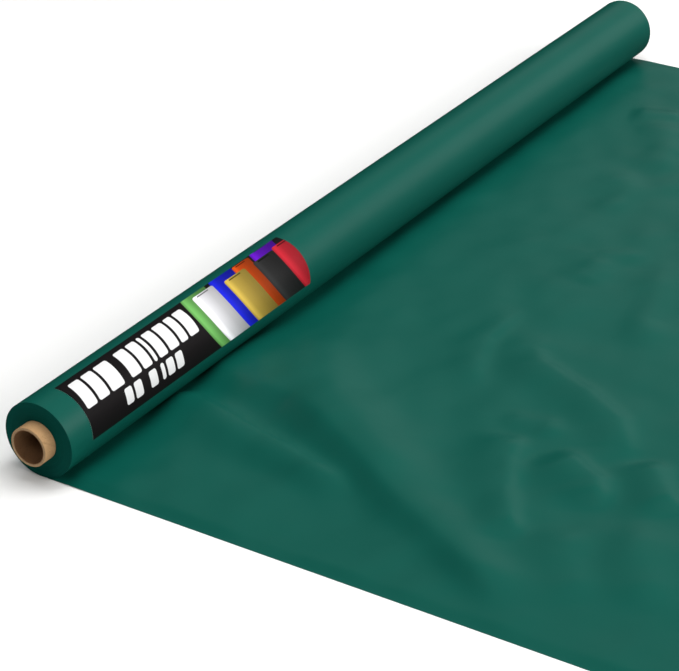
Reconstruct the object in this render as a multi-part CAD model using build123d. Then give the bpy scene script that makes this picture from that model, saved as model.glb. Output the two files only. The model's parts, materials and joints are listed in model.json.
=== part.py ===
from build123d import *

import os
from math import atan2, cos, degrees, pi, radians, sin, sqrt

# A roll of smooth sheeting on a spiral-wound paperboard core, part of it laid out on the floor.
#
# The sheet leaves the roll at its lowest line and lies flat, pulled out along +X. The rest of it is
# wound on the core, and a printed label sticks to the outer turn. The core stands out of the winding
# at both ends, and its bore takes the bar, the pole or the pair of end cones that the roll turns on.
#
# Frame: the origin is on the core's axis at mid-length, +Y runs along the axis from the labelled end
# to the plain end, +X is the way the sheet is pulled off and +Z is up. Lengths are in millimetres.

# The sheet: 40 inches wide, 100 feet long, 3 thousandths of an inch thick.
SHEET_WIDTH = 1016.0
SHEET_LENGTH = 30480.0
FILM_THICKNESS = 0.0762
LAID_LENGTH = 620.0  # from the line where the roll touches the floor to the cut edge
WINDING_FILL = 0.96  # share of the winding that is film, the rest being air between turns

# The core: glued plies of paperboard, each one strip wound as a helix with its edges butted.
CORE_BORE_RADIUS = 14.0
PLY_THICKNESS = 0.46
GLUE_LINE = 0.05  # between one ply and the next
CORE_OVERHANG = 12.0  # how far the core stands out of the winding at each end
HELIX_LEAD = 124.0  # how far a strip advances along the core in one turn
SEAM_GAP = 0.3  # between the edges of a strip, measured along the core
SEAM_STAGGER = 144.0  # degrees from one ply's seam to the next one's
RIBBON_MARGIN = 15.0  # how far the ribbon that cuts a seam runs past each end of the core
RIBBON_REACH = 0.4  # how far it stands out of the ply on both sides
PLY_NAMES = ("core_liner_ply", "core_second_ply", "core_middle_ply", "core_fourth_ply", "core_face_ply")

# The tape that fixes the sheet's inner end to the core, along its whole width but for the ends.
TAPE_THICKNESS = 0.13
TAPE_WIDTH = 25.0
TAPE_END_INSET = 8.0
TAPE_ANGLE = 150.0  # degrees from +X, towards +Z, to the tape's middle

# The label on the outer turn.
LABEL_THICKNESS = 0.1
LABEL_LENGTH = 306.0
LABEL_HEIGHT = 56.5  # measured round the roll
LABEL_END_INSET = 26.0  # from the winding's end to the label
LABEL_LOW_EDGE = -6.0  # degrees from +X, towards +Z, to its lower edge

# Clearances.
WINDING_CLEARANCE = 0.05  # between the core or its tape and the first turn
LABEL_GLUE = 0.02  # between the outer turn and the label
NIP_CLEARANCE = 0.3  # between the turning roll and the sheet that lies still under it

core_radius = CORE_BORE_RADIUS + len(PLY_NAMES) * PLY_THICKNESS + (len(PLY_NAMES) - 1) * GLUE_LINE
core_length = SHEET_WIDTH + 2 * CORE_OVERHANG
wound_length = SHEET_LENGTH - LAID_LENGTH
roll_radius = sqrt(core_radius**2 + FILM_THICKNESS * wound_length / (pi * WINDING_FILL))


def ring_section(inner: float, outer: float) -> Sketch:
    """The section of a tube, drawn round the roll's axis."""
    return Circle(outer) - Circle(inner)


def arc_section(inner: float, thickness: float, middle: float, height: float) -> Sketch:
    """The section of a strip that lies round the axis.

    inner is its inner radius, middle the angle to its middle in degrees, and height its width
    measured round its inner face.
    """
    half_angle = degrees(height / inner) / 2
    start, end = middle - half_angle, middle + half_angle
    inner_arc = CenterArc((0, 0), inner, start, end - start)
    outer_arc = CenterArc((0, 0), inner + thickness, start, end - start)
    sides = [Line(inner_arc @ place, outer_arc @ place) for place in (0, 1)]
    return make_face([inner_arc, outer_arc, *sides])


def along_roll(section: Sketch, start: float, end: float) -> Part:
    """The section, whose x and y are the roll's X and Z, drawn out from Y = start to Y = end."""
    return extrude(Plane.XZ.offset(-end) * section, amount=end - start)


def seam_cutter(inner: float, outer: float) -> Part:
    """A thin helical ribbon that parts a ply along its butted seam, from end to end.

    It leaves both ends of the core on the -X side, well away from the tube's own closing edge at +X.
    """
    radius = (inner + outer) / 2
    turns = core_length / HELIX_LEAD
    start_angle = -90 - 180 * (turns - round(turns)) - 360 * RIBBON_MARGIN / HELIX_LEAD
    helix = Helix(
        pitch=HELIX_LEAD,
        height=core_length + 2 * RIBBON_MARGIN,
        radius=radius,
        center=(0, -core_length / 2 - RIBBON_MARGIN, 0),
        direction=(0, 1, 0),
    )
    lead_angle = atan2(HELIX_LEAD, 2 * pi * radius)
    section = Rectangle(outer - inner + 2 * RIBBON_REACH, SEAM_GAP * cos(lead_angle))
    start = Plane(origin=helix @ 0, x_dir=(0, 0, 1), z_dir=helix % 0)
    return Rot(0, start_angle, 0) * sweep(start * section, path=helix, is_frenet=True)

def make_plies() -> dict[str, Part]:
    """The core's plies, from the bore outwards, each with its seam turned on from the last."""
    plies = {}
    for index, name in enumerate(PLY_NAMES):
        inner = CORE_BORE_RADIUS + index * (PLY_THICKNESS + GLUE_LINE)
        outer = inner + PLY_THICKNESS
        tube = along_roll(ring_section(inner, outer), -core_length / 2, core_length / 2)
        plies[name] = Rot(0, index * SEAM_STAGGER, 0) * (tube - seam_cutter(inner, outer))
    return plies

def make_tape() -> Part:
    """The strip of tape that lies on the core under the first turn."""
    section = arc_section(core_radius, TAPE_THICKNESS, TAPE_ANGLE, TAPE_WIDTH)
    reach = SHEET_WIDTH / 2 - TAPE_END_INSET
    return along_roll(section, -reach, reach)


def make_winding() -> Part:
    """The wound sheet as one hollow cylinder, with the room that the tape takes in its bore."""
    section = ring_section(core_radius + WINDING_CLEARANCE, roll_radius)
    winding = along_roll(section, -SHEET_WIDTH / 2, SHEET_WIDTH / 2)
    room = arc_section(
        core_radius, TAPE_THICKNESS + WINDING_CLEARANCE, TAPE_ANGLE, TAPE_WIDTH + 2 * WINDING_CLEARANCE
    )
    reach = SHEET_WIDTH / 2 - TAPE_END_INSET + WINDING_CLEARANCE
    return winding - along_roll(room, -reach, reach)


def make_label() -> Part:
    """The label, curved to the outer turn."""
    radius = roll_radius + LABEL_GLUE
    middle = LABEL_LOW_EDGE + degrees(LABEL_HEIGHT / radius) / 2
    section = arc_section(radius, LABEL_THICKNESS, middle, LABEL_HEIGHT)
    start = -SHEET_WIDTH / 2 + LABEL_END_INSET
    return along_roll(section, start, start + LABEL_LENGTH)


def make_laid_sheet() -> Part:
    """The sheet that lies on the floor, from as near the nip as the turning label lets it come."""
    turning_radius = roll_radius + LABEL_GLUE + LABEL_THICKNESS + NIP_CLEARANCE
    nip_start = sqrt(turning_radius**2 - (roll_radius - FILM_THICKNESS) ** 2)
    length = LAID_LENGTH - nip_start
    at = Pos(nip_start + length / 2, 0, -roll_radius + FILM_THICKNESS / 2)
    return at * Box(length, SHEET_WIDTH, FILM_THICKNESS)


def main() -> None:
    """Builds every piece and writes each to its own file."""
    pieces = make_plies()
    pieces["start_tape"] = make_tape()
    pieces["wound_sheet"] = make_winding()
    pieces["label"] = make_label()
    pieces["laid_sheet"] = make_laid_sheet()
    os.makedirs("parts", exist_ok=True)
    for name, piece in pieces.items():
        export_step(piece, f"parts/{name}.step")
    print(f"core radius {core_radius:.2f}, roll radius {roll_radius:.2f}, core length {core_length:.0f}")


if __name__ == "__main__":
    main()
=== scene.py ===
"""Dresses a roll of satin green film, wound on a spiral cardboard core and partly laid out flat.

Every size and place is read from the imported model, in metres: +Y runs along the roll from the
labelled end to the plain end, +X is the way the film is pulled off, and +Z is up. Angles round the
roll are counted from +X towards +Z. Pattern scales and print layouts are in millimetres.
"""

import json
import logging
from collections.abc import Sequence
from dataclasses import dataclass, field
from math import cos, hypot, pi, radians, sin

import bpy
import numpy as np
from mathutils import Matrix, Vector, noise


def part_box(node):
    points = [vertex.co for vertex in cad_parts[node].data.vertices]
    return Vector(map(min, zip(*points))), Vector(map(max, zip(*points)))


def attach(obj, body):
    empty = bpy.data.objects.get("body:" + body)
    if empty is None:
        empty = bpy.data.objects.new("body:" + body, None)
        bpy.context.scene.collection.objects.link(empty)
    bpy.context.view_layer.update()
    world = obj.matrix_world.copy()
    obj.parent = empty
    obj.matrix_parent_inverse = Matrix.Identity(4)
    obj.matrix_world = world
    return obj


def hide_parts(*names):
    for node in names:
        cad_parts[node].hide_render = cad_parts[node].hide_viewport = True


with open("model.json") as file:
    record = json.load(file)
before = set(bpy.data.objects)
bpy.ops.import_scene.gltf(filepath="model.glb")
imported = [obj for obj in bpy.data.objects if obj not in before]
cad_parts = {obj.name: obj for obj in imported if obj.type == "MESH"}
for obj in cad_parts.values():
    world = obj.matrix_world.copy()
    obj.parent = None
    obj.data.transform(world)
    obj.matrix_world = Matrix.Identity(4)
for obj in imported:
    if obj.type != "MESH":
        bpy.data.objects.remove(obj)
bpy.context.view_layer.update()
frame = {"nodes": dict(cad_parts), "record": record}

log = logging.getLogger("film_roll")

MM = 0.001
UV_MM = "surface_mm"  # a map whose units are millimetres along each surface
SHARP_EDGE = radians(40)  # faces that meet at more than this are not smoothed over
Colour = tuple[float, float, float, float]
Socket = bpy.types.NodeSocket
Tree = bpy.types.NodeTree


# Colours and nodes ---------------------------------------------------------------------------------


def linear(code: str, share: float = 1.0) -> Colour:
    """Turns an sRGB hex colour to linear light.

    Args:
        code: the colour as "#rrggbb".
        share: how much of its light is kept.

    Returns:
        The linear red, green and blue, and an alpha of one.
    """
    parts = (int(code[i : i + 2], 16) / 255 for i in (1, 3, 5))
    light = [p / 12.92 if p <= 0.04045 else ((p + 0.055) / 1.055) ** 2.4 for p in parts]
    return (light[0] * share, light[1] * share, light[2] * share, 1.0)


def add_node(tree: Tree, kind: str, inputs: dict | None = None, **settings) -> bpy.types.Node:
    """Adds a node with its settings, its sockets' values and its links.

    Args:
        tree: the node tree.
        kind: the node's type, without its "ShaderNode" beginning.
        inputs: socket name or number to a value, or to the output socket that feeds it.
        **settings: the node's own properties.

    Returns:
        The new node.
    """
    node = tree.nodes.new("ShaderNode" + kind)
    for name, value in settings.items():
        setattr(node, name, value)
    for socket, value in (inputs or {}).items():
        if isinstance(value, Socket):
            tree.links.new(value, node.inputs[socket])
        else:
            node.inputs[socket].default_value = value
    return node


def new_material(name: str) -> tuple[bpy.types.Material, Tree, bpy.types.Node]:
    """Starts a material.

    Args:
        name: the finish's name.

    Returns:
        The material, its node tree and its principled shader.
    """
    material = bpy.data.materials.new(name)
    material.use_nodes = True
    tree = material.node_tree
    return material, tree, tree.nodes["Principled BSDF"]


# Finishes ------------------------------------------------------------------------------------------


@dataclass(frozen=True)
class SatinFilm:
    """Blown polyethylene film with a satin face, dyed green right through.

    It gives the eye a deep, even green with one broad soft sheen, and faint lighter and darker
    bands along it where the film is a little thinner or thicker.
    """

    # The faint red in this green is painted sheen: it greys the film a little where it is lit, as its
    # soft sheen does.
    colour: str = "#064f44"
    tones: tuple[float, float] = (0.95, 1.05)  # the darkest and lightest band, as shares
    roughness: float = 0.42
    ior: float = 1.51
    specular: float = 0.2
    band_mm: tuple[float, float] = (60.0, 400.0)  # the bands that a blown film's die leaves
    grain_mm: float = 1.6  # the satin grain is about 0.1 mm: drawn as coarse as it needs to show
    grain_depth_mm: float = 0.05
    grain_strength: float = 0.05

    def make(self) -> bpy.types.Material:
        """Builds the material.

        Returns:
            The finish of the roll and of the sheet laid out from it.
        """
        material, tree, shader = new_material("satin_film")
        place = add_node(tree, "UVMap", uv_map=UV_MM).outputs["UV"]
        across, along = (1 / size for size in self.band_mm)
        bands_at = add_node(tree, "Mapping", {"Vector": place, "Scale": (across, along, 1)})
        bands = add_node(tree, "TexNoise", {"Vector": bands_at.outputs[0], "Scale": 1.0, "Detail": 1.0})
        dark, light = (linear(self.colour, tone) for tone in self.tones)
        colour = add_node(
            tree, "Mix", {"Factor": bands.outputs["Fac"], 6: dark, 7: light}, data_type="RGBA"
        )
        grain_at = add_node(tree, "Mapping", {"Vector": place, "Scale": (1 / self.grain_mm,) * 3})
        grain = add_node(tree, "TexNoise", {"Vector": grain_at.outputs[0], "Scale": 1.0, "Detail": 2.0})
        bump = add_node(
            tree,
            "Bump",
            {
                "Height": grain.outputs["Fac"],
                "Strength": self.grain_strength,
                "Distance": self.grain_depth_mm * MM,
            },
        )
        tree.links.new(colour.outputs[2], shader.inputs["Base Color"])
        tree.links.new(bump.outputs[0], shader.inputs["Normal"])
        shader.inputs["Roughness"].default_value = self.roughness
        shader.inputs["IOR"].default_value = self.ior
        shader.inputs["Specular IOR Level"].default_value = self.specular
        return material


@dataclass(frozen=True)
class FilmEdges:
    """The slit edges of the film's turns, packed side by side.

    Light is lost between the turns, so it gives the eye a near-black green with fine rings.
    """

    colour: str = "#00423a"
    tones: tuple[float, float] = (0.7, 1.3)
    roughness: float = 0.8
    specular: float = 0.05
    ring_mm: tuple[float, float] = (0.8, 250.0)  # a turn is 0.08 mm thick: drawn ten to a ring
    ring_depth_mm: float = 0.1
    ring_strength: float = 0.4

    def make(self) -> bpy.types.Material:
        """Builds the material.

        Returns:
            The finish of the roll's two ends.
        """
        material, tree, shader = new_material("film_edges")
        place = add_node(tree, "UVMap", uv_map=UV_MM).outputs["UV"]
        outwards, around = (1 / size for size in self.ring_mm)
        rings_at = add_node(tree, "Mapping", {"Vector": place, "Scale": (outwards, around, 1)})
        rings = add_node(tree, "TexNoise", {"Vector": rings_at.outputs[0], "Scale": 1.0, "Detail": 2.0})
        dark, light = (linear(self.colour, tone) for tone in self.tones)
        colour = add_node(
            tree, "Mix", {"Factor": rings.outputs["Fac"], 6: dark, 7: light}, data_type="RGBA"
        )
        bump = add_node(
            tree,
            "Bump",
            {
                "Height": rings.outputs["Fac"],
                "Strength": self.ring_strength,
                "Distance": self.ring_depth_mm * MM,
            },
        )
        tree.links.new(colour.outputs[2], shader.inputs["Base Color"])
        tree.links.new(bump.outputs[0], shader.inputs["Normal"])
        shader.inputs["Roughness"].default_value = self.roughness
        shader.inputs["Specular IOR Level"].default_value = self.specular
        return material


@dataclass(frozen=True)
class CoreBoard:
    """Kraft or recycled board, wound damp with glue and pressed on a mandrel.

    It gives the eye a warm matt tan with short darker fibres that lie along the strip.
    """

    name: str
    colour: str
    fibre_colour: str
    roughness: float = 0.82
    specular: float = 0.25
    fibre_mm: tuple[float, float] = (2.6, 0.35)  # a fibre's length and width
    fibre_from: float = 0.52  # where in the noise a fibre begins to show
    fibre_full: float = 0.72  # and where it is darkest
    fibre_depth_mm: float = 0.06
    fibre_strength: float = 0.35
    cloud_mm: float = 9.0  # the mottle of a paper sheet held to the light
    cloud_tones: tuple[float, float] = (0.88, 1.12)

    def make(self) -> bpy.types.Material:
        """Builds the material.

        Returns:
            The finish of one ply.
        """
        material, tree, shader = new_material(self.name)
        place = add_node(tree, "UVMap", uv_map=UV_MM).outputs["UV"]
        along, across = (1 / size for size in self.fibre_mm)
        fibres_at = add_node(tree, "Mapping", {"Vector": place, "Scale": (along, across, 1)})
        fibres = add_node(
            tree,
            "TexNoise",
            {"Vector": fibres_at.outputs[0], "Scale": 1.0, "Detail": 3.0, "Roughness": 0.6},
        )
        clouds_at = add_node(tree, "Mapping", {"Vector": place, "Scale": (1 / self.cloud_mm,) * 3})
        clouds = add_node(tree, "TexNoise", {"Vector": clouds_at.outputs[0], "Scale": 1.0, "Detail": 2.0})
        fibre = add_node(
            tree,
            "MapRange",
            {"Value": fibres.outputs["Fac"], "From Min": self.fibre_from, "From Max": self.fibre_full},
        )
        strip = add_node(
            tree,
            "Mix",
            {"Factor": fibre.outputs[0], 6: linear(self.colour), 7: linear(self.fibre_colour)},
            data_type="RGBA",
        )
        dark, light = self.cloud_tones
        tone = add_node(
            tree, "MapRange", {"Value": clouds.outputs["Fac"], "To Min": dark, "To Max": light}
        )
        colour = add_node(
            tree,
            "Mix",
            {"Factor": 1.0, 6: strip.outputs[2], 7: tone.outputs[0]},
            data_type="RGBA",
            blend_type="MULTIPLY",
        )
        bump = add_node(
            tree,
            "Bump",
            {
                "Height": fibres.outputs["Fac"],
                "Strength": self.fibre_strength,
                "Distance": self.fibre_depth_mm * MM,
            },
        )
        tree.links.new(colour.outputs[2], shader.inputs["Base Color"])
        tree.links.new(bump.outputs[0], shader.inputs["Normal"])
        shader.inputs["Roughness"].default_value = self.roughness
        shader.inputs["Specular IOR Level"].default_value = self.specular
        return material


@dataclass(frozen=True)
class CrepeTape:
    """Cream crepe-paper tape.

    It gives the eye a matt cream with close crinkles across the tape.
    """

    colour: str = "#d8cba6"
    tones: tuple[float, float] = (0.85, 1.1)
    crinkle_mm: tuple[float, float, float] = (18.0, 0.9, 18.0)
    crinkle_depth_mm: float = 0.08
    crinkle_strength: float = 0.5
    roughness: float = 0.9

    def make(self) -> bpy.types.Material:
        """Builds the material.

        Returns:
            The finish of the tape under the first turn.
        """
        material, tree, shader = new_material("crepe_tape")
        place = add_node(tree, "TexCoord").outputs["Object"]
        scale = tuple(1 / (size * MM) for size in self.crinkle_mm)
        crinkles_at = add_node(tree, "Mapping", {"Vector": place, "Scale": scale})
        crinkles = add_node(
            tree, "TexNoise", {"Vector": crinkles_at.outputs[0], "Scale": 1.0, "Detail": 2.0}
        )
        dark, light = (linear(self.colour, tone) for tone in self.tones)
        colour = add_node(
            tree, "Mix", {"Factor": crinkles.outputs["Fac"], 6: dark, 7: light}, data_type="RGBA"
        )
        bump = add_node(
            tree,
            "Bump",
            {
                "Height": crinkles.outputs["Fac"],
                "Strength": self.crinkle_strength,
                "Distance": self.crinkle_depth_mm * MM,
            },
        )
        tree.links.new(colour.outputs[2], shader.inputs["Base Color"])
        tree.links.new(bump.outputs[0], shader.inputs["Normal"])
        shader.inputs["Roughness"].default_value = self.roughness
        return material


@dataclass(frozen=True)
class Box:
    """A printed box, in millimetres from the label's lower near corner.

    Left and right run along the roll, and low and high run round it.
    """

    left: float
    right: float
    low: float
    high: float


@dataclass(frozen=True)
class Row:
    """A line of plain blocks that stand where words would, in the same millimetres."""

    start: float
    low: float
    high: float
    widths: tuple[float, ...]
    gap: float = 3.0

    def boxes(self) -> list[Box]:
        """Sets the blocks out one after another.

        Returns:
            One box for each block.
        """
        boxes, left = [], self.start
        for width in self.widths:
            boxes.append(Box(left, left + width, self.low, self.high))
            left += width + self.gap
        return boxes


@dataclass(frozen=True)
class Swatch:
    """One small upright roll of the label's colour chart, in the same millimetres."""

    colour: str
    left: float
    right: float
    top: float


@dataclass(frozen=True)
class PrintedLabel:
    """Coated label paper, printed black with plain blocks and a chart of colour rolls.

    It gives the eye crisp flat inks under a thin satin varnish, and a white paper edge.
    """

    ground: str = "#141112"
    ink: str = "#dcdcdc"
    rows: tuple[Row, ...] = (
        Row(start=1.5, low=24.5, high=50.5, widths=(12.6, 12.6, 16.0)),
        Row(start=58.0, low=24.5, high=50.5, widths=(12.8, 11.2, 3.9, 11.0, 12.2, 9.2, 12.0)),
        Row(start=44.0, low=8.0, high=21.0, widths=(9.0, 9.5)),
        Row(start=75.5, low=8.0, high=21.0, widths=(9.5,)),
        Row(start=91.0, low=8.0, high=21.0, widths=(4.4, 9.2, 9.2)),
    )
    lean: float = 0.13  # the blocks lean forward by this much for each unit of height
    block_corner: float = 2.0
    back_rolls: tuple[Swatch, ...] = (
        Swatch("#538746", 156.5, 190.0, 60.0),
        Swatch("#12199c", 196.0, 229.0, 60.0),
        Swatch("#a03a0c", 229.0, 254.0, 55.5),
        Swatch("#4a0c90", 256.5, 291.0, 58.5),
    )
    front_rolls: tuple[Swatch, ...] = (
        Swatch("#c8c7ca", 169.0, 198.0, 52.0),
        Swatch("#9a8338", 210.5, 241.0, 47.5),
        Swatch("#222222", 252.5, 283.0, 46.5),
        Swatch("#8e1a24", 282.5, 320.0, 48.5),
    )
    roll_corner: float = 2.4
    bow: float = 0.0145  # the chart is bowed: millimetres along, per square millimetre off its middle
    bow_middle: float = 33.0
    edge_shades: tuple[float, float] = (1.1, 0.6)  # a roll's near and far edge, as shares of its colour
    body_shades: tuple[tuple[float, float], ...] = ((0.1, 1.9), (0.3, 1.15), (0.7, 0.75))
    mouth_inset: tuple[float, float] = (0.2, 0.25)  # from the roll's two sides, as shares of its width
    mouth_drop: tuple[float, float] = (2.6, 1.2)  # its low and high edge, below the roll's top
    mouth_corner: float = 0.65
    mouth_shade: float = 0.25
    blur_mm: float = 0.12  # the softness of a printed edge
    roughness: float = 0.5
    specular: float = 0.08

    def lean_place(self, tree: Tree, along: Socket, up: Socket) -> Socket:
        """Shears the picture's plane, so that upright boxes in it lean forward on the label.

        Args:
            tree: the node tree.
            along: the place along the roll.
            up: the place round the roll.

        Returns:
            The sheared place.
        """
        sheared = add_node(tree, "Math", {0: up, 1: -self.lean, 2: along}, operation="MULTIPLY_ADD")
        return add_node(tree, "CombineXYZ", {"X": sheared.outputs[0], "Y": up}).outputs[0]

    def bow_place(self, tree: Tree, along: Socket, up: Socket) -> Socket:
        """Bends the picture's plane, so that upright boxes in it are bowed on the label.

        Args:
            tree: the node tree.
            along: the place along the roll.
            up: the place round the roll.

        Returns:
            The bent place.
        """
        off = add_node(tree, "Math", {0: up, 1: self.bow_middle}, operation="SUBTRACT").outputs[0]
        square = add_node(tree, "Math", {0: off, 1: off}, operation="MULTIPLY").outputs[0]
        bent = add_node(tree, "Math", {0: square, 1: -self.bow, 2: along}, operation="MULTIPLY_ADD")
        return add_node(tree, "CombineXYZ", {"X": bent.outputs[0], "Y": up}).outputs[0]

    def stamp(
        self,
        tree: Tree,
        under: Socket | Colour,
        place: Socket,
        box: Box,
        corner: float,
        ink: Socket | Colour,
    ) -> Socket:
        """Prints a round-cornered box over what is there already.

        Args:
            tree: the node tree.
            under: the picture so far.
            place: the point, in millimetres.
            box: the box.
            corner: the radius of its corners, in millimetres.
            ink: its colour.

        Returns:
            The picture with the box in it.
        """
        middle = ((box.left + box.right) / 2, (box.low + box.high) / 2, 0)
        reach = ((box.right - box.left) / 2 - corner, (box.high - box.low) / 2 - corner, 0)
        away = add_node(tree, "VectorMath", {0: place, 1: middle}, operation="SUBTRACT")
        folded = add_node(tree, "VectorMath", {0: away.outputs[0]}, operation="ABSOLUTE")
        past = add_node(tree, "VectorMath", {0: folded.outputs[0], 1: reach}, operation="SUBTRACT")
        outside = add_node(tree, "VectorMath", {0: past.outputs[0], 1: (0, 0, 0)}, operation="MAXIMUM")
        distance = add_node(tree, "VectorMath", {0: outside.outputs[0]}, operation="LENGTH")
        mask = add_node(
            tree,
            "MapRange",
            {
                "Value": distance.outputs["Value"],
                "From Min": corner - self.blur_mm,
                "From Max": corner + self.blur_mm,
                "To Min": 1.0,
                "To Max": 0.0,
            },
        )
        inked = add_node(tree, "Mix", {"Factor": mask.outputs[0], 6: under, 7: ink}, data_type="RGBA")
        return inked.outputs[2]

    def print_roll(self, tree: Tree, under: Socket, place: Socket, swatch: Swatch) -> Socket:
        """Prints one small roll: light on its near side, deeper on its far side, with a dark mouth.

        Args:
            tree: the node tree.
            under: the picture so far.
            place: the point, in millimetres.
            swatch: the roll.

        Returns:
            The picture with the roll in it.
        """
        along = add_node(tree, "SeparateXYZ", {0: place}).outputs["X"]
        across = add_node(
            tree, "MapRange", {"Value": along, "From Min": swatch.left, "From Max": swatch.right}
        )
        ramp = add_node(tree, "ValToRGB", {"Fac": across.outputs[0]})
        stops = ramp.color_ramp.elements
        for stop, position, shade in zip(stops, (0.0, 1.0), self.edge_shades):
            stop.position, stop.color = position, linear(swatch.colour, shade)
        for position, shade in self.body_shades:
            stops.new(position).color = linear(swatch.colour, shade)
        body = Box(swatch.left, swatch.right, -2 * self.roll_corner, swatch.top)
        picture = self.stamp(tree, under, place, body, self.roll_corner, ramp.outputs[0])
        (near, far), width = self.mouth_inset, swatch.right - swatch.left
        low, high = (swatch.top - drop for drop in self.mouth_drop)
        mouth = Box(swatch.left + near * width, swatch.right - far * width, low, high)
        dark = linear(swatch.colour, self.mouth_shade)
        return self.stamp(tree, picture, place, mouth, self.mouth_corner, dark)

    def make(self) -> bpy.types.Material:
        """Builds the material.

        Returns:
            The finish of the label's printed face.
        """
        material, tree, shader = new_material("printed_label")
        flat = add_node(tree, "UVMap", uv_map=UV_MM).outputs["UV"]
        along, up, _ = add_node(tree, "SeparateXYZ", {0: flat}).outputs
        leaning, bowed = self.lean_place(tree, along, up), self.bow_place(tree, along, up)
        picture = linear(self.ground)
        for box in (box for row in self.rows for box in row.boxes()):
            picture = self.stamp(tree, picture, leaning, box, self.block_corner, linear(self.ink))
        for swatch in self.back_rolls + self.front_rolls:
            picture = self.print_roll(tree, picture, bowed, swatch)
        tree.links.new(picture, shader.inputs["Base Color"])
        shader.inputs["Roughness"].default_value = self.roughness
        shader.inputs["Specular IOR Level"].default_value = self.specular
        return material


@dataclass(frozen=True)
class PaperEdge:
    """Bleached label paper, bare at the label's cut edges and back.

    It gives the eye a thin matt white line round the print.
    """

    colour: str = "#b9b9b4"
    tones: tuple[float, float] = (0.9, 1.1)
    fibre_mm: float = 0.8
    roughness: float = 0.85

    def make(self) -> bpy.types.Material:
        """Builds the material.

        Returns:
            The finish of the label's edges and back.
        """
        material, tree, shader = new_material("paper_edge")
        place = add_node(tree, "TexCoord").outputs["Object"]
        scale = 1 / (self.fibre_mm * MM)
        fibres = add_node(tree, "TexNoise", {"Vector": place, "Scale": scale, "Detail": 2.0})
        dark, light = (linear(self.colour, tone) for tone in self.tones)
        colour = add_node(
            tree, "Mix", {"Factor": fibres.outputs["Fac"], 6: dark, 7: light}, data_type="RGBA"
        )
        tree.links.new(colour.outputs[2], shader.inputs["Base Color"])
        shader.inputs["Roughness"].default_value = self.roughness
        return material


@dataclass(frozen=True)
class PaintedFloor:
    """A painted cyclorama floor. It gives the eye an even, matt white."""

    colour: str = "#f4f4f3"
    roughness: float = 0.9
    specular: float = 0.1

    def make(self) -> bpy.types.Material:
        """Builds the material.

        Returns:
            The finish of the studio's floor.
        """
        material, _, shader = new_material("painted_floor")
        shader.inputs["Base Color"].default_value = linear(self.colour)
        shader.inputs["Roughness"].default_value = self.roughness
        shader.inputs["Specular IOR Level"].default_value = self.specular
        return material


# Meshes --------------------------------------------------------------------------------------------


@dataclass(frozen=True)
class RoundExtent:
    """What a node takes up round the roll's axis: radii and lengths in metres, angles in degrees."""

    inner: float
    outer: float
    start: float
    end: float
    low: float
    high: float

    @classmethod
    def of(cls, node: str) -> "RoundExtent":
        """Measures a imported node.

        Args:
            node: its name.

        Returns:
            What it takes up.
        """
        mesh = frame["nodes"][node].data
        points = np.empty(len(mesh.vertices) * 3)
        mesh.vertices.foreach_get("co", points)
        x, y, z = points.reshape(-1, 3).T
        radius, angle = np.hypot(x, z), np.degrees(np.arctan2(z, x))
        return cls(radius.min(), radius.max(), angle.min(), angle.max(), y.min(), y.max())


def grid_faces(rows: int, columns: int, first: int = 0, closed: bool = False) -> np.ndarray:
    """Numbers the quads of a grid of vertices.

    Args:
        rows: how many rows of vertices there are.
        columns: how many vertices a row has.
        first: the number of the first vertex.
        closed: whether the last row joins the first.

    Returns:
        One row of four vertex numbers for each quad.
    """
    row_count = rows if closed else rows - 1
    row, column = np.meshgrid(np.arange(row_count), np.arange(columns - 1), indexing="ij")
    here = row * columns + column
    beyond = (row + 1) % rows * columns + column
    return first + np.stack([here, here + 1, beyond + 1, beyond], -1).reshape(-1, 4)


def slab_faces(rows: int, columns: int) -> list[np.ndarray]:
    """Numbers the quads of a thin slab: two grids of vertices, the front one first, and a rim.

    Args:
        rows: how many rows of vertices a grid has.
        columns: how many vertices a row has.

    Returns:
        The front's, the back's and the rim's quads.
    """
    count = rows * columns
    grid = np.arange(count).reshape(rows, columns)
    rim = np.concatenate([grid[0, :-1], grid[:-1, -1], grid[-1, :0:-1], grid[:0:-1, 0]])
    beyond = np.roll(rim, -1)
    back = grid_faces(rows, columns, first=count)[:, ::-1]
    return [grid_faces(rows, columns), back, np.stack([rim, beyond, beyond + count, rim + count], -1)]


def new_piece(
    name: str,
    points: np.ndarray,
    faces: np.ndarray,
    uv: np.ndarray,
    materials: Sequence[bpy.types.Material],
    sharp: float = SHARP_EDGE,
) -> bpy.types.Object:
    """Makes a smooth mesh object.

    Args:
        name: the piece's name.
        points: its vertices, in metres.
        faces: its quads, as vertex numbers.
        uv: for each vertex, its place on the surface in millimetres.
        materials: its material slots.
        sharp: faces that meet at more than this angle are not smoothed over.

    Returns:
        The new object.
    """
    mesh = bpy.data.meshes.new(name)
    mesh.from_pydata(points.tolist(), [], faces.tolist())
    layer = mesh.uv_layers.new(name=UV_MM)
    corners = np.empty(len(mesh.loops), np.int32)
    mesh.loops.foreach_get("vertex_index", corners)
    layer.uv.foreach_set("vector", uv[corners].astype(np.float32).ravel())
    for material in materials:
        mesh.materials.append(material)
    mesh.shade_smooth()
    mesh.set_sharp_from_angle(angle=sharp)
    piece = bpy.data.objects.new(name, mesh)
    bpy.context.scene.collection.objects.link(piece)
    return piece


# Sub-assemblies ------------------------------------------------------------------------------------


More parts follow.
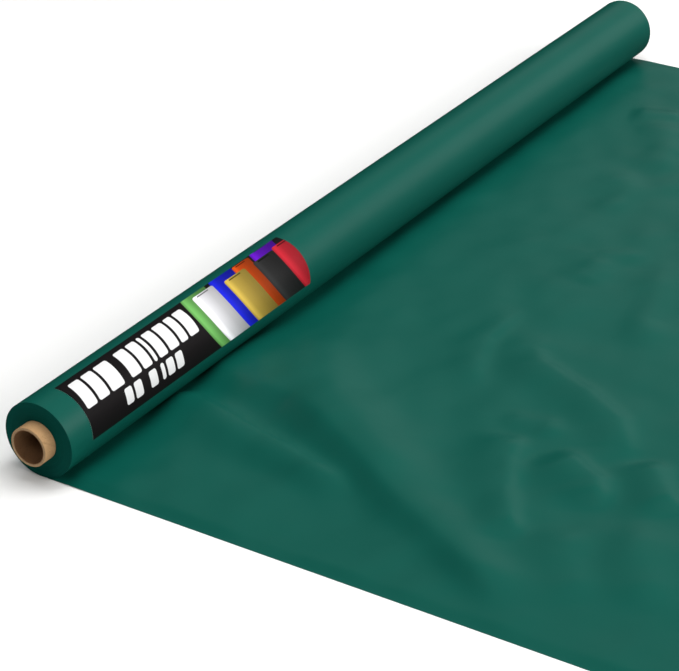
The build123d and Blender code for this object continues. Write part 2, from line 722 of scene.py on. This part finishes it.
@dataclass
class WoundFilm:
    """The film still on the roll: a hollow cylinder whose ends show the edges of its turns."""

    film: bpy.types.Material
    steps: int = 256  # round the roll
    side_rings: int = 40  # along it
    turns_shown: int = 48  # steps in each end face, several turns to a step
    telescoping: float = 0.12 * MM  # how far one turn's edge stands off its neighbours
    tape_gap: float = 0.05 * MM  # between the tape and the first turn
    seed: int = 7
    extent: RoundExtent = field(default_factory=lambda: RoundExtent.of("wound_sheet"))
    tape_outer: float = field(default_factory=lambda: RoundExtent.of("start_tape").outer)

    def end_profile(self, end: float, sign: int, rng: np.random.Generator) -> list[tuple[float, float]]:
        """Draws one end face from the outer turn inwards.

        Args:
            end: the face's place along Y.
            sign: which way it faces along Y.
            rng: the source of the turns' unevenness.

        Returns:
            Points of (place along Y, radius).
        """
        radii = np.linspace(self.extent.outer, self.tape_outer + self.tape_gap, self.turns_shown + 1)
        inset = rng.uniform(0, self.telescoping, self.turns_shown)
        inset[0] = 0
        points = []
        for outside, inside, depth in zip(radii, radii[1:], inset):
            points += [(end - sign * depth, outside), (end - sign * depth, inside)]
        return points

    def profile(self) -> np.ndarray:
        """Draws the whole section: the far end, the near end and the side.

        Returns:
            Points of (place along Y, radius).
        """
        rng = np.random.default_rng(self.seed)
        far = self.end_profile(self.extent.high, 1, rng)
        near = self.end_profile(self.extent.low, -1, rng)
        places = np.linspace(self.extent.low, self.extent.high, self.side_rings + 2)[1:-1]
        return np.array(far + near[::-1] + [(y, self.extent.outer) for y in places])

    def build(self) -> bpy.types.Object:
        """Builds the piece: one ring of points for each point of the section.

        Returns:
            The finished piece.
        """
        profile = self.profile()
        rings, columns, end_rings = len(profile), self.steps + 1, 2 * self.turns_shown
        angles = np.linspace(0, 2 * pi, self.steps, endpoint=False)
        # The first column is repeated, so that the map runs on round the roll without folding back.
        angles = np.append(angles, angles[0])
        y = np.broadcast_to(profile[:, 0, None], (rings, columns))
        radius = profile[:, 1, None]
        points = np.stack([radius * np.cos(angles), y, radius * np.sin(angles)], -1)
        around = np.linspace(0, 2 * pi * self.extent.outer / MM, columns)
        along = profile[:, 0] / MM
        along[: 2 * end_rings] = profile[: 2 * end_rings, 1] / MM
        uv = np.stack(np.broadcast_arrays(along[:, None], around[None, :]), -1)
        faces = grid_faces(rings, columns, closed=True)
        materials = [self.film, FilmEdges().make()]
        piece = new_piece("wound_film", points.reshape(-1, 3), faces, uv.reshape(-1, 2), materials)
        row = np.arange(len(faces)) // self.steps
        in_end = (row < end_rings - 1) | ((row >= end_rings) & (row < 2 * end_rings - 1))
        piece.data.polygons.foreach_set("material_index", in_end.astype(np.int32))
        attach(piece, "roll")
        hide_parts("wound_sheet")
        return piece


@dataclass(frozen=True)
class Fold:
    """A soft fold in the laid film, with its crest through the given points.

    Places, height and widths are in millimetres. A width is how far the fold's flank reaches from
    its crest, on the left and on the right of the way the points run, at the first and last point.
    """

    crest: tuple[tuple[float, float], ...]
    height: float
    left: tuple[float, float]
    right: tuple[float, float]
    from_nip: bool = False  # whether it starts at full height, where the film comes off the roll
    taper: float = 0.3  # the share of its length over which an end dies away
    crest_round: float = 0.3  # how much of the narrower flank the crest's rounding takes

    def fade(self, run: np.ndarray) -> np.ndarray:
        """Works out how much of the full height stands.

        Args:
            run: shares of the way along the crest.

        Returns:
            The share of the height at each.
        """
        ending = np.clip((1 - run) / self.taper, 0, 1)
        starting = np.ones_like(run) if self.from_nip else np.clip(run / self.taper, 0, 1)
        share = starting * ending
        return share**2 * (3 - 2 * share)

    def rise(self, x: np.ndarray, y: np.ndarray) -> np.ndarray:
        """Works out how far the fold lifts the film.

        Args:
            x: places across the film, in millimetres.
            y: places along the roll, in millimetres.

        Returns:
            The lift at each place, in millimetres.
        """
        crest = np.array(self.crest)
        spans = np.diff(crest, axis=0)
        lengths = np.hypot(*spans.T)
        starts = np.concatenate([[0], np.cumsum(lengths)])
        nearest = np.full(x.shape, np.inf)
        side = np.zeros(x.shape)
        run = np.zeros(x.shape)
        for point, span, length, start in zip(crest, spans, lengths, starts):
            dx, dy = x - point[0], y - point[1]
            share = np.clip((dx * span[0] + dy * span[1]) / length**2, 0, 1)
            away = np.hypot(dx - share * span[0], dy - share * span[1])
            closer = away < nearest
            nearest = np.where(closer, away, nearest)
            side = np.where(closer, span[0] * dy - span[1] * dx, side)
            run = np.where(closer, (start + share * length) / starts[-1], run)
        left = self.left[0] + (self.left[1] - self.left[0]) * run
        right = self.right[0] + (self.right[1] - self.right[0]) * run
        # The two flanks' widths are blended across the crest, so that it stays round.
        lean = np.tanh(side / lengths.mean() / (self.crest_round * np.minimum(left, right)))
        width = (left + right) / 2 + lean * (left - right) / 2
        return self.height * self.fade(run) * np.exp(-((nearest / width) ** 2))


@dataclass
class LaidFilm:
    """The film that lies on the floor, one thickness, with the soft folds it was pulled out with."""

    # Sizes are in millimetres.
    film: bpy.types.Material
    pitch: float = 3.0  # between points of its grid
    edge_flat: float = 14.0  # the film lies flat for this far from its slit edges
    nip_flat: float = 22.0  # and for this far from where the roll holds it down
    nip_lift: float = 0.6  # how far its own stiffness holds it up as it comes off the roll
    lift_rise: float = 16.0  # how soon that lift begins
    lift_reach: float = 50.0  # and how far from the roll it has died away
    ripple: float = 1.9  # the height of its faint all-over waviness
    ripple_length: float = 58.0
    ripple_stretch: tuple[float, float] = (1.0, 0.7)  # the long waves run a little along the roll
    fine_stretch: tuple[float, float] = (2.0, 1.6)
    fine_share: float = 0.5
    fine_place: float = 3.0  # another layer of the same noise
    sharp: float = radians(60)
    folds: tuple[Fold, ...] = (
        Fold(
            ((36, -306), (112, -317), (162, -342), (212, -372), (262, -400), (312, -427), (397, -477)),
            9.0,
            (60, 19),
            (27, 17),
            from_nip=True,
            taper=0.14,
        ),
        Fold(((40, -180), (80, -235), (130, -300), (200, -352), (260, -388)), 7.6, (46, 32), (60, 30)),
        Fold(
            ((36, -362), (92, -377), (142, -389), (192, -404), (226, -421)),
            7.4,
            (15, 10),
            (30, 15),
            from_nip=True,
        ),
        Fold(((184, -70), (187, -142), (202, -192), (220, -224)), 3.0, (9, 9), (22, 20)),
        Fold(
            ((226, -100), (230, -140), (247, -160), (302, -184), (342, -210), (364, -242), (376, -284)),
            5.0,
            (12, 12),
            (24, 30),
        ),
        Fold(((283, -262), (294, -305), (312, -342), (352, -404)), 6.0, (12, 10), (30, 22), taper=0.18),
        Fold(((318, -272), (340, -286), (366, -300), (386, -334)), 6.6, (14, 12), (28, 28)),
        Fold(((384, -246), (408, -276), (440, -312)), 6.6, (14, 12), (26, 24)),
        Fold(((262, -262), (276, -246), (296, -240), (312, -262)), 2.4, (12, 12), (15, 15)),
        Fold(((240, 72), (256, 52), (272, 18), (287, -42), (320, -100)), 2.6, (16, 14), (22, 20)),
        Fold(((160, 40), (196, 46), (244, 76)), 1.8, (14, 12), (18, 15)),
        Fold(((108, 376), (132, 334), (154, 290), (172, 220)), 4.0, (22, 14), (32, 25)),
        Fold(((76, 362), (104, 371), (134, 386)), 3.4, (14, 12), (18, 15)),
        Fold(((132, 236), (156, 196), (162, 160), (158, 124)), 2.4, (17, 14), (25, 22)),
        Fold(((202, 48), (212, 18), (210, -14)), 1.9, (14, 14), (18, 18)),
        Fold(((416, -326), (436, -372), (472, -436)), 4.1, (24, 19), (28, 22)),
        Fold(((372, -360), (396, -404), (432, -448)), 3.0, (17, 14), (25, 20)),
        Fold(((470, -96), (505, -180), (552, -250)), 4.3, (31, 22), (30, 25)),
        Fold(((404, 76), (450, 10), (500, -30), (576, -56)), 4.3, (31, 24), (30, 25)),
        Fold(((310, 316), (372, 268), (400, 214), (466, 168)), 4.1, (34, 24), (30, 25)),
        Fold(((500, 426), (520, 330), (562, 256)), 4.1, (31, 22), (30, 25)),
        Fold(((508, -366), (548, -402), (596, -452)), 4.3, (26, 19), (25, 20)),
    )

    def waviness(self, x: np.ndarray, y: np.ndarray) -> np.ndarray:
        """Works out the film's faint all-over waves.

        Args:
            x: places across the film, in millimetres.
            y: places along the roll, in millimetres.

        Returns:
            The lift at each place, in millimetres.
        """
        places = np.stack([x, y], -1).reshape(-1, 2) / self.ripple_length
        (a, b), (c, d) = self.ripple_stretch, self.fine_stretch
        long_waves = [noise.noise((a * u, b * v, 0.0)) for u, v in places]
        fine_waves = [noise.noise((c * u, d * v, self.fine_place)) for u, v in places]
        waves = np.array(long_waves) + self.fine_share * np.array(fine_waves)
        return self.ripple * waves.reshape(x.shape)

    def heights(self, x: np.ndarray, y: np.ndarray, low: Vector, high: Vector) -> np.ndarray:
        """Works out the film's lift off the floor.

        Args:
            x: places across the film, in millimetres.
            y: places along the roll, in millimetres.
            low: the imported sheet's lowest corner, in metres.
            high: its highest corner, in metres.

        Returns:
            The lift at each place, in millimetres.
        """
        rise = sum(fold.rise(x, y) for fold in self.folds) + self.waviness(x, y) + self.ripple
        to_edge = np.minimum(y - low.y / MM, high.y / MM - y)
        to_nip = x - low.x / MM
        flat = np.clip(to_edge / self.edge_flat, 0, 1) * np.clip(to_nip / self.nip_flat, 0, 1)
        begun = 1 - np.exp(-((to_nip / self.lift_rise) ** 2))
        left = np.exp(-((to_nip / self.lift_reach) ** 2))
        return np.maximum(rise, 0) * flat**2 * (3 - 2 * flat) + self.nip_lift * begun * left

    def build(self) -> bpy.types.Object:
        """Builds the piece.

        Returns:
            The finished piece.
        """
        low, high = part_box("laid_sheet")
        columns = round((high.x - low.x) / MM / self.pitch) + 1
        rows = round((high.y - low.y) / MM / self.pitch) + 1
        across = np.linspace(low.x, high.x, columns) / MM
        x, y = np.meshgrid(across, np.linspace(low.y, high.y, rows) / MM)
        rise = self.heights(x, y, low, high) * MM
        levels = (rise + high.z, rise + low.z)
        points = [np.stack([x * MM, y * MM, level], -1).reshape(-1, 3) for level in levels]
        uv = np.tile(np.stack([y, x], -1).reshape(-1, 2), (2, 1))
        faces = np.concatenate(slab_faces(rows, columns))[:, ::-1]
        piece = new_piece("laid_film", np.concatenate(points), faces, uv, [self.film], self.sharp)
        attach(piece, "sheet")
        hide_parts("laid_sheet")
        return piece


@dataclass
class Core:
    """The cardboard core: five plies, each one strip wound as a helix with its edges butted."""

    # The liner is darker than the other plies, partly as its own browner board and partly as painted
    # shade that darkens the inside of the bore, where little light reaches.
    liner: CoreBoard = CoreBoard("liner_with_painted_bore_shade", "#7a583a", "#5d422b")
    chip: CoreBoard = CoreBoard("recycled_board", "#a48866", "#7b6245")
    kraft: CoreBoard = CoreBoard("kraft_paper", "#b38f66", "#916e46")
    lead: float = 124 * MM  # how far a strip advances in one turn
    seam: float = 0.3 * MM  # the gap between a strip's edges, along the core
    stagger: float = 144.0  # degrees from one ply's seam to the next one's
    steps: int = 144  # round the core
    plies: tuple[str, ...] = (
        "core_liner_ply",
        "core_second_ply",
        "core_middle_ply",
        "core_fourth_ply",
        "core_face_ply",
    )

    def bore_radius(self) -> float:
        """Reads the bore's radius from the record.

        Returns:
            The radius, in metres.
        """
        mount = next(m for m in frame["record"]["mounts"] if m["name"] == "core_bore")
        return mount["dims"]["r_mm"] * MM

    def build_ply(self, index: int, thickness: float, material: bpy.types.Material) -> bpy.types.Object:
        """Winds one ply.

        Args:
            index: the ply's place from the bore outwards.
            thickness: how thick it is, in metres.
            material: its finish.

        Returns:
            The finished piece.
        """
        node = self.plies[index]
        extent = RoundExtent.of(node)
        radii = (extent.outer, extent.outer - thickness)
        length = extent.high - extent.low
        turns = length / self.lead
        # The seam leaves both ends at the same angle from -X, and each ply is turned on from the last.
        start = pi + pi * (turns - round(turns)) - radians(index * self.stagger)
        columns = int(turns * self.steps) + self.steps + 2
        turn = np.arange(columns) / self.steps
        angle = start - 2 * pi * turn
        edge = extent.low + turn * self.lead
        near = np.clip(edge - self.lead + self.seam / 2, extent.low, extent.high)
        far = np.clip(edge - self.seam / 2, extent.low, extent.high)
        y = np.stack([near, far], -1)
        points, uv = [], []
        for radius in radii:
            x, z = radius * np.cos(angle), radius * np.sin(angle)
            points.append(np.stack([np.repeat(x[:, None], 2, 1), y, np.repeat(z[:, None], 2, 1)], -1))
            along = np.repeat(turn[:, None], 2, 1) * hypot(2 * pi * radius, self.lead)
            uv.append(np.stack([along, y], -1) / MM)
        count = columns * 2
        outside = grid_faces(columns, 2)
        inside = grid_faces(columns, 2, first=count)[:, ::-1]
        ring = np.concatenate([np.arange(0, count, 2), np.arange(count - 1, 0, -2)])
        walls = np.stack([ring, ring + count, np.roll(ring, -1) + count, np.roll(ring, -1)], -1)
        faces = np.concatenate([outside, inside, walls])
        piece = new_piece(
            node.replace("_ply", "_strip"),
            np.concatenate(points).reshape(-1, 3),
            faces,
            np.concatenate(uv).reshape(-1, 2),
            [material],
        )
        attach(piece, "roll")
        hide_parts(node)
        return piece

    def build(self) -> list[bpy.types.Object]:
        """Winds every ply, from the bore outwards.

        Returns:
            The plies.
        """
        thickness = RoundExtent.of(self.plies[0]).outer - self.bore_radius()
        liner, chip, kraft = self.liner.make(), self.chip.make(), self.kraft.make()
        finishes = [liner, chip, chip, chip, kraft]
        return [self.build_ply(i, thickness, finish) for i, finish in enumerate(finishes)]


@dataclass
class Label:
    """The printed label on the outer turn, curved to it."""

    steps: int = 120  # round the roll
    columns: int = 60  # along it

    def build(self) -> bpy.types.Object:
        """Builds the piece.

        Returns:
            The finished piece.
        """
        extent = RoundExtent.of("label")
        angle = np.radians(np.linspace(extent.start, extent.end, self.steps))
        y = np.linspace(extent.low, extent.high, self.columns)
        around = (angle - angle[0]) * extent.inner / MM
        points = []
        for radius in (extent.outer, extent.inner):
            ring = np.stack([radius * np.cos(angle), 0 * angle, radius * np.sin(angle)], -1)
            sheet = ring[:, None, :] + np.stack([0 * y, y, 0 * y], -1)[None]
            points.append(sheet.reshape(-1, 3))
        place = np.stack(np.broadcast_arrays((y - y[0])[None] / MM, around[:, None]), -1)
        uv = np.tile(place.reshape(-1, 2), (2, 1))
        faces = slab_faces(self.steps, self.columns)
        materials = [PrintedLabel().make(), PaperEdge().make()]
        piece = new_piece("label_sheet", np.concatenate(points), np.concatenate(faces), uv, materials)
        bare = np.arange(len(piece.data.polygons)) >= len(faces[0])
        piece.data.polygons.foreach_set("material_index", bare.astype(np.int32))
        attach(piece, "roll")
        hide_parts("label")
        return piece


@dataclass(frozen=True)
class StartTape:
    """The tape that fixes the film's inner end to the core. It is hidden under the first turn."""

    node: str = "start_tape"

    def build(self) -> bpy.types.Object:
        """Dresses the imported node.

        Returns:
            The node's object.
        """
        piece = frame["nodes"][self.node]
        piece.data.materials.clear()
        piece.data.materials.append(CrepeTape().make())
        return piece


# Studio --------------------------------------------------------------------------------------------


@dataclass(frozen=True)
class SoftLight:
    """A large soft studio light, aimed at the roll's middle."""

    name: str
    azimuth: float  # degrees from +X towards +Y
    elevation: float
    power: float  # in watts
    distance: float = 4.0  # in metres
    size: float = 2.2
    glossy: bool = True  # whether it shows in sheens

    def build(self) -> bpy.types.Object:
        """Hangs the light.

        Returns:
            The light.
        """
        data = bpy.data.lights.new(self.name, "AREA")
        data.shape = "DISK"
        data.size = self.size
        data.energy = self.power
        light = bpy.data.objects.new(self.name, data)
        bpy.context.scene.collection.objects.link(light)
        turn, lift = radians(self.azimuth), radians(self.elevation)
        way = Vector((cos(turn) * cos(lift), sin(turn) * cos(lift), sin(lift)))
        light.location = way * self.distance
        light.rotation_euler = way.to_track_quat("Z", "Y").to_euler()
        light.visible_glossy = self.glossy
        return light


@dataclass
class Studio:
    """A pale floor, soft light and the camera."""

    floor_size: float = 5.6
    floor_gap: float = 0.15 * MM  # keeps the floor from showing through the film
    air_colour: str = "#ffffff"
    air_strength: float = 0.02  # as light on the object
    air_shown: float = 1.0  # as the camera sees it beyond the floor
    lights: tuple[SoftLight, ...] = (
        SoftLight("key_light_near", azimuth=0, elevation=25, power=52, glossy=False),
        SoftLight("key_light_far", azimuth=25, elevation=25, power=58),
        SoftLight("sheen_light", azimuth=67, elevation=25, power=15),
        SoftLight("far_light", azimuth=60, elevation=65, power=60, glossy=False),
        SoftLight("low_back_light", azimuth=100, elevation=20, power=6.0),
        SoftLight("high_back_light", azimuth=123, elevation=44, power=5),
        SoftLight("left_light", azimuth=180, elevation=45, power=17, glossy=False),
        SoftLight("front_light", azimuth=-90, elevation=45, power=28),
        SoftLight("front_right_light", azimuth=-35, elevation=25, power=22),
        SoftLight("top_light", azimuth=0, elevation=90, power=66, glossy=False),
    )
    camera_place: tuple[float, float, float] = (0.9769, -1.6179, 0.8869)
    camera_azimuth: float = 32.41  # degrees from +Y towards -X, the way the camera looks
    camera_elevation: float = 28.66
    camera_roll: float = -0.53
    lens_mm: float = 118.9
    sensor_mm: float = 36.0
    clip_start: float = 0.05

    def build_floor(self) -> bpy.types.Object:
        """Lays the floor just under the film.

        Returns:
            The floor. It doesn't show in sheens, where it would grey the roll's sides.
        """
        reach = self.floor_size / 2
        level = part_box("laid_sheet")[0].z - self.floor_gap
        signs = ((-1, -1), (1, -1), (1, 1), (-1, 1))
        mesh = bpy.data.meshes.new("studio_floor")
        mesh.from_pydata([(x * reach, y * reach, level) for x, y in signs], [], [(0, 1, 2, 3)])
        mesh.materials.append(PaintedFloor().make())
        floor = bpy.data.objects.new("studio_floor", mesh)
        floor.visible_glossy = False
        bpy.context.scene.collection.objects.link(floor)
        return floor

    def build_air(self) -> None:
        """Fills the room with even light."""
        world = bpy.data.worlds.new("studio")
        world.use_nodes = True
        sky = world.node_tree.nodes["Background"]
        sky.inputs["Color"].default_value = linear(self.air_colour)
        seen = add_node(world.node_tree, "LightPath").outputs["Is Camera Ray"]
        strength = add_node(
            world.node_tree,
            "MapRange",
            {"Value": seen, "To Min": self.air_strength, "To Max": self.air_shown},
        )
        world.node_tree.links.new(strength.outputs[0], sky.inputs["Strength"])
        bpy.context.scene.world = world

    def build_camera(self) -> bpy.types.Object:
        """Sets up the camera.

        Returns:
            The camera.
        """
        data = bpy.data.cameras.new("camera")
        data.lens = self.lens_mm
        data.sensor_width = self.sensor_mm
        data.clip_start = self.clip_start
        camera = bpy.data.objects.new("camera", data)
        bpy.context.scene.collection.objects.link(camera)
        turn = (
            Matrix.Rotation(radians(self.camera_azimuth), 4, "Z")
            @ Matrix.Rotation(radians(90 - self.camera_elevation), 4, "X")
            @ Matrix.Rotation(radians(self.camera_roll), 4, "Z")
        )
        camera.matrix_world = Matrix.Translation(self.camera_place) @ turn
        bpy.context.scene.camera = camera
        return camera

    def build(self) -> None:
        """Sets up the whole studio."""
        bpy.context.scene.view_settings.view_transform = "Standard"
        self.build_floor()
        self.build_air()
        self.build_camera()
        for light in self.lights:
            light.build()


def main() -> None:
    """Builds the studio and every piece."""
    logging.basicConfig(level=logging.INFO, format="%(name)s: %(message)s")
    Studio().build()
    film = SatinFilm().make()
    pieces = [
        WoundFilm(film).build(),
        LaidFilm(film).build(),
        *Core().build(),
        Label().build(),
        StartTape().build(),
    ]
    for piece in pieces:
        log.info("%s: %d faces", piece.name, len(piece.data.polygons))


if __name__ == "__main__":
    main()
